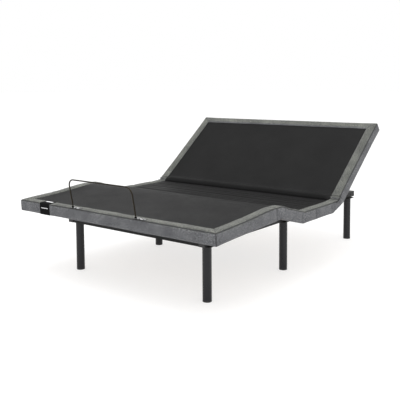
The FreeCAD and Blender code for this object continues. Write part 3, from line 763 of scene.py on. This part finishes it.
def deckSheet(name, where, low, high, shape=None, foldShade=None, step=covers["step"]):
    zone = ends(where, "fold") if where in crossing else (0.0, 0.0)
    rows = max(3, round((high - low) / step) + 1)
    columns = round(2 * covers["half"] / covers["step"]) + 1
    points, lengths = [], []
    for row in range(rows):
        y = low + (high - low) * row / (rows - 1)
        for column in range(columns):
            x = covers["half"] * (2 * column / (columns - 1) - 1)
            loose = min(1.0, (covers["half"] - abs(x)) / 0.05)
            height = bed["cover"] + covers["wave"] * ripple(x, y, len(name)) * loose
            edge = min(covers["half"] - abs(x), y - covers["footEnd"], covers["headEnd"] - y)
            height -= 0.0006 * max(0.0, 1 - edge / (2 * covers["tuck"]))
            points.append((x, y, height))
            lengths.append((x, y))
    plan = np.array(points)
    flat = shape(plan) if shape else plan
    dark = foldShade(plan) if foldShade else np.zeros(len(plan))
    free = np.zeros(len(plan))
    piece = gridMesh(name, laid(flat, where, zone), columns, np.array(lengths), free, dark=dark)
    piece.data.materials.append(finishes["black_cloth"])
    thicken(piece, covers["thickness"])
    high - low
    if where in crossing:
        across(piece, where, "fold")
    else:
        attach(piece, sections[where])
    return piece


def inside(points, width):  # fades to nothing at the sides of the cloth
    return smooth((covers["half"] - np.abs(points[:, 0])) / width)


def kneeRound(points):
    moved = points.copy()
    moved[:, 2] += bed["kneeRise"] * kneeRise(points)
    return moved


def backRoll(points):  # the head's cloth rolls over the edge of its board, down into the bend
    moved = points.copy()
    y = past(points, "back")
    roll = hump(y - 0.034, 0.022) * smooth((y + 0.002) / 0.014)
    moved[:, 2] += 0.013 * roll * (0.35 + 0.65 * inside(points, 0.05))
    return moved


def rollShade(points):
    return 0.9 * hump(past(points, "back") - 0.002, 0.009)


def crease(points, at, width):  # one low fold that wanders a little on its way across the bed
    x = points[:, 0]
    drift = 0.005 * np.sin(x * 4.1 + at * 90) + 0.002 * np.sin(x * 11.0 + at * 40)
    return hump(points[:, 1] - at - drift, width)


creases = {  # places past the lap hinge, and how deep each is
    "lap": ((0.0, 0.3), (0.034, 1.0), (0.070, 0.7), (0.104, 0.6)),
    "seat": ((0.150, 0.5), (0.205, 0.8), (0.262, 0.5), (0.312, 0.7)),
}


def folded(points, where):
    moved = points.copy()
    for at, depth in creases[where]:
        rise = crease(points, hinges["lap"]["y"] + at + 0.007, 0.007)
        moved[:, 2] += 0.0026 * depth * rise * inside(points, 0.08)
    return moved


def creaseShade(points, where):
    dark = np.zeros(len(points))
    for at, depth in creases[where]:
        dark += 0.8 * depth * crease(points, hinges["lap"]["y"] + at - 0.003, 0.006)
    return np.clip(dark, 0.0, 1.0) * inside(points, 0.06)


def lapFolds(points):  # low creases that run across the bed beside the bend
    return folded(points, "lap")


def lapShade(points):
    return creaseShade(points, "lap")


def seatFolds(points):
    return folded(points, "seat")


def seatShade(points):
    return creaseShade(points, "seat")


calfCover = deckSheet("calf_cover", "calf", covers["footEnd"], kneeEnds[0], shape=kneeRound)
thighCover = deckSheet("thigh_cover", "thigh", kneeEnds[1], lapEnds[0], kneeRound)
seatCover = deckSheet("seat_cover", "seat", lapEnds[1], backEnds[0], seatFolds, seatShade, step=0.004)
headCover = deckSheet("head_cover", "head", backEnds[1], covers["headEnd"])
for piece, node in zip(
    (calfCover, thighCover, seatCover, headCover),
    ("calf_deck_cloth", "thigh_deck_cloth", "seat_deck_cloth", "head_deck_cloth"),
):
    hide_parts(node)
deckSheet("knee_cover", "knee", *kneeEnds, kneeRound, step=0.005)
deckSheet("lap_cover", "lap", *lapEnds, lapFolds, lapShade, step=0.004)
deckSheet("back_cover", "back", *backEnds, backRoll, rollShade, step=0.003)
print("deck cloth made")


tag = {
    "path": [  # y past the foot edge and height, from the top of the border to its lower edge
        (0.0600, 0.4168),
        (0.0575, 0.4184),
        (0.0060, 0.4186),
        (0.0010, 0.4180),
        (-0.0012, 0.4160),
        (-0.0016, 0.4120),
        (-0.0016, 0.3560),
        (-0.0010, 0.3510),
        (0.0004, 0.3490),
    ],
    "step": 0.0028,
    # a small pale patch on the top of the tag, and a pale stripe on its front
    "patch": {"inset": 0.013, "from": 0.0150, "to": 0.0290},
    "stripe": {"inset": 0.013, "from": 0.0870, "to": 0.0910},
}


def alongPath(path, place):  # point on a bent line, and the way that it faces
    for (y0, z0), (y1, z1) in zip(path, path[1:]):
        run = math.dist((y0, z0), (y1, z1))
        if place <= run or (y1, z1) == path[-1]:
            share = min(1.0, place / run)
            return y0 + (y1 - y0) * share, z0 + (z1 - z0) * share, -(z0 - z1) / run, (y0 - y1) / run
        place -= run


def tagCloth(name, low, high, start, stop, rise, thickness, finish):
    columns = round((high - low) / tag["step"]) + 1
    rows = round((stop - start) / tag["step"]) + 1
    points, lengths = [], []
    for row in range(rows):
        along = start + (stop - start) * row / (rows - 1)
        y, z, outY, outZ = alongPath(tag["path"], along)
        for column in range(columns):
            x = low + (high - low) * column / (columns - 1)
            hem = min(column, columns - 1 - column, row, rows - 1 - row)
            lift = rise + (0.0003 if hem == 1 else 0.0)
            points.append((x, bed["footEnd"] + y + outY * lift, z + outZ * lift))
            lengths.append((x, along))
    flat = np.array(points)
    piece = gridMesh(
        name, laid(flat, "calf"), columns, np.array(lengths), np.zeros(len(flat)), inward=True
    )
    piece.data.materials.append(finish)
    thicken(piece, thickness)
    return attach(piece, sections["calf"])


tagLength = sum(math.dist(a, b) for a, b in zip(tag["path"], tag["path"][1:]))
tagBody = tagCloth("edge_tag", *tagSpan, 0.0, tagLength, 0.0008, 0.0008, finishes["tag_black"])
trims = [
    tagCloth(
        f"tag_{name}",
        tagSpan[0] + tag[name]["inset"],
        tagSpan[1] - tag[name]["inset"],
        tag[name]["from"],
        tag[name]["to"],
        0.0013,
        0.0005,
        trimFinish,
    )
    for name in ("patch", "stripe")
]
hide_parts("blank_tag")


def highlitPlate():  # black plate, with a painted highlight: silver on its upward faces, broken up by noise
    paint = Paint("retainer_plate_steel", Metallic=1.0)
    cloud = paint.noise(paint.place(), 60.0, 4.0, 0.7)
    upward = paint.ranged(paint.parts(paint.place("Normal"))[2], 0.5, 0.9, 0.0, 1.0)
    paintedHighlight = upward * paint.ranged(cloud, 0.44, 0.52, 0.0, 1.0)
    paint.set("Base Color", paint.mixed(paintedHighlight, (0.012, 0.012, 0.012), (0.66, 0.66, 0.67)))
    paint.set("Roughness", paint.ranged(cloud, 0.3, 0.7, 0.42, 0.24))
    return paint.material


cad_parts["retainer_plates"].material_slots[0].material = highlitPlate()
print("tag made")


studio = {"floor": 60.0}
clearSelection()
bpy.ops.mesh.primitive_plane_add(size=studio["floor"] * 2, location=(0, 0, -0.0005))
floor = bpy.context.object
floor.name = "floor"
floorPaint = Paint("pale_floor", Roughness=0.9)
grain = floorPaint.noise(floorPaint.place(), 3.0)
floorPaint.set("Base Color", floorPaint.mixed(grain, (0.36, 0.36, 0.36), (0.39, 0.39, 0.39)))
floorPaint.set("Emission Color", (1.0, 1.0, 1.0))
floorPaint.set("Emission Strength", 0.66)
floor.data.materials.append(floorPaint.material)

world = bpy.data.worlds.new("studio")
bpy.context.scene.world = world
world.use_nodes = True
world.node_tree.nodes["Background"].inputs["Color"].default_value = (1.0, 1.0, 1.0, 1.0)
world.node_tree.nodes["Background"].inputs["Strength"].default_value = 1.0
bpy.context.scene.view_settings.view_transform = "Standard"

lamps = {
    "overhead": {"at": (0.4, -0.6, 4.6), "aim": (0.0, 0.0, 0.3), "size": (5.0, 4.0), "power": 150},
    "front": {"at": (3.6, -4.2, 3.0), "aim": (0.0, -0.2, 0.3), "size": (3.0, 2.0), "power": 60},
}
for name, lamp in lamps.items():
    light = bpy.data.lights.new(name, "AREA")
    light.shape = "RECTANGLE"
    light.size, light.size_y = lamp["size"]
    light.energy = lamp["power"]
    holder = bpy.data.objects.new(name, light)
    holder.location = lamp["at"]
    aim = Vector(lamp["aim"]) - Vector(lamp["at"])
    holder.rotation_euler = aim.to_track_quat("-Z", "Y").to_euler()
    bpy.context.collection.objects.link(holder)

sight = {
    "at": (2.5689, -3.4413, 1.1712),
    "down": 4.945,
    "left": 38.281,
    "roll": -0.388,
    "lens": 58.116,
    "aside": -0.0012,
    "rise": -0.1554,
}
camera = bpy.data.objects.new("camera", bpy.data.cameras.new("camera"))
bpy.context.collection.objects.link(camera)
camera.data.lens = sight["lens"]
camera.data.sensor_width = 36.0
camera.data.shift_x = sight["aside"]
camera.data.shift_y = sight["rise"]
camera.data.clip_end = 200.0
turn = Matrix.Rotation(math.radians(sight["left"]), 4, "Z")
tilt = Matrix.Rotation(math.radians(90 - sight["down"]), 4, "X")
lean = Matrix.Rotation(math.radians(sight["roll"]), 4, "Z")
camera.matrix_world = Matrix.Translation(sight["at"]) @ turn @ tilt @ lean
bpy.context.scene.camera = camera

print("scene made")
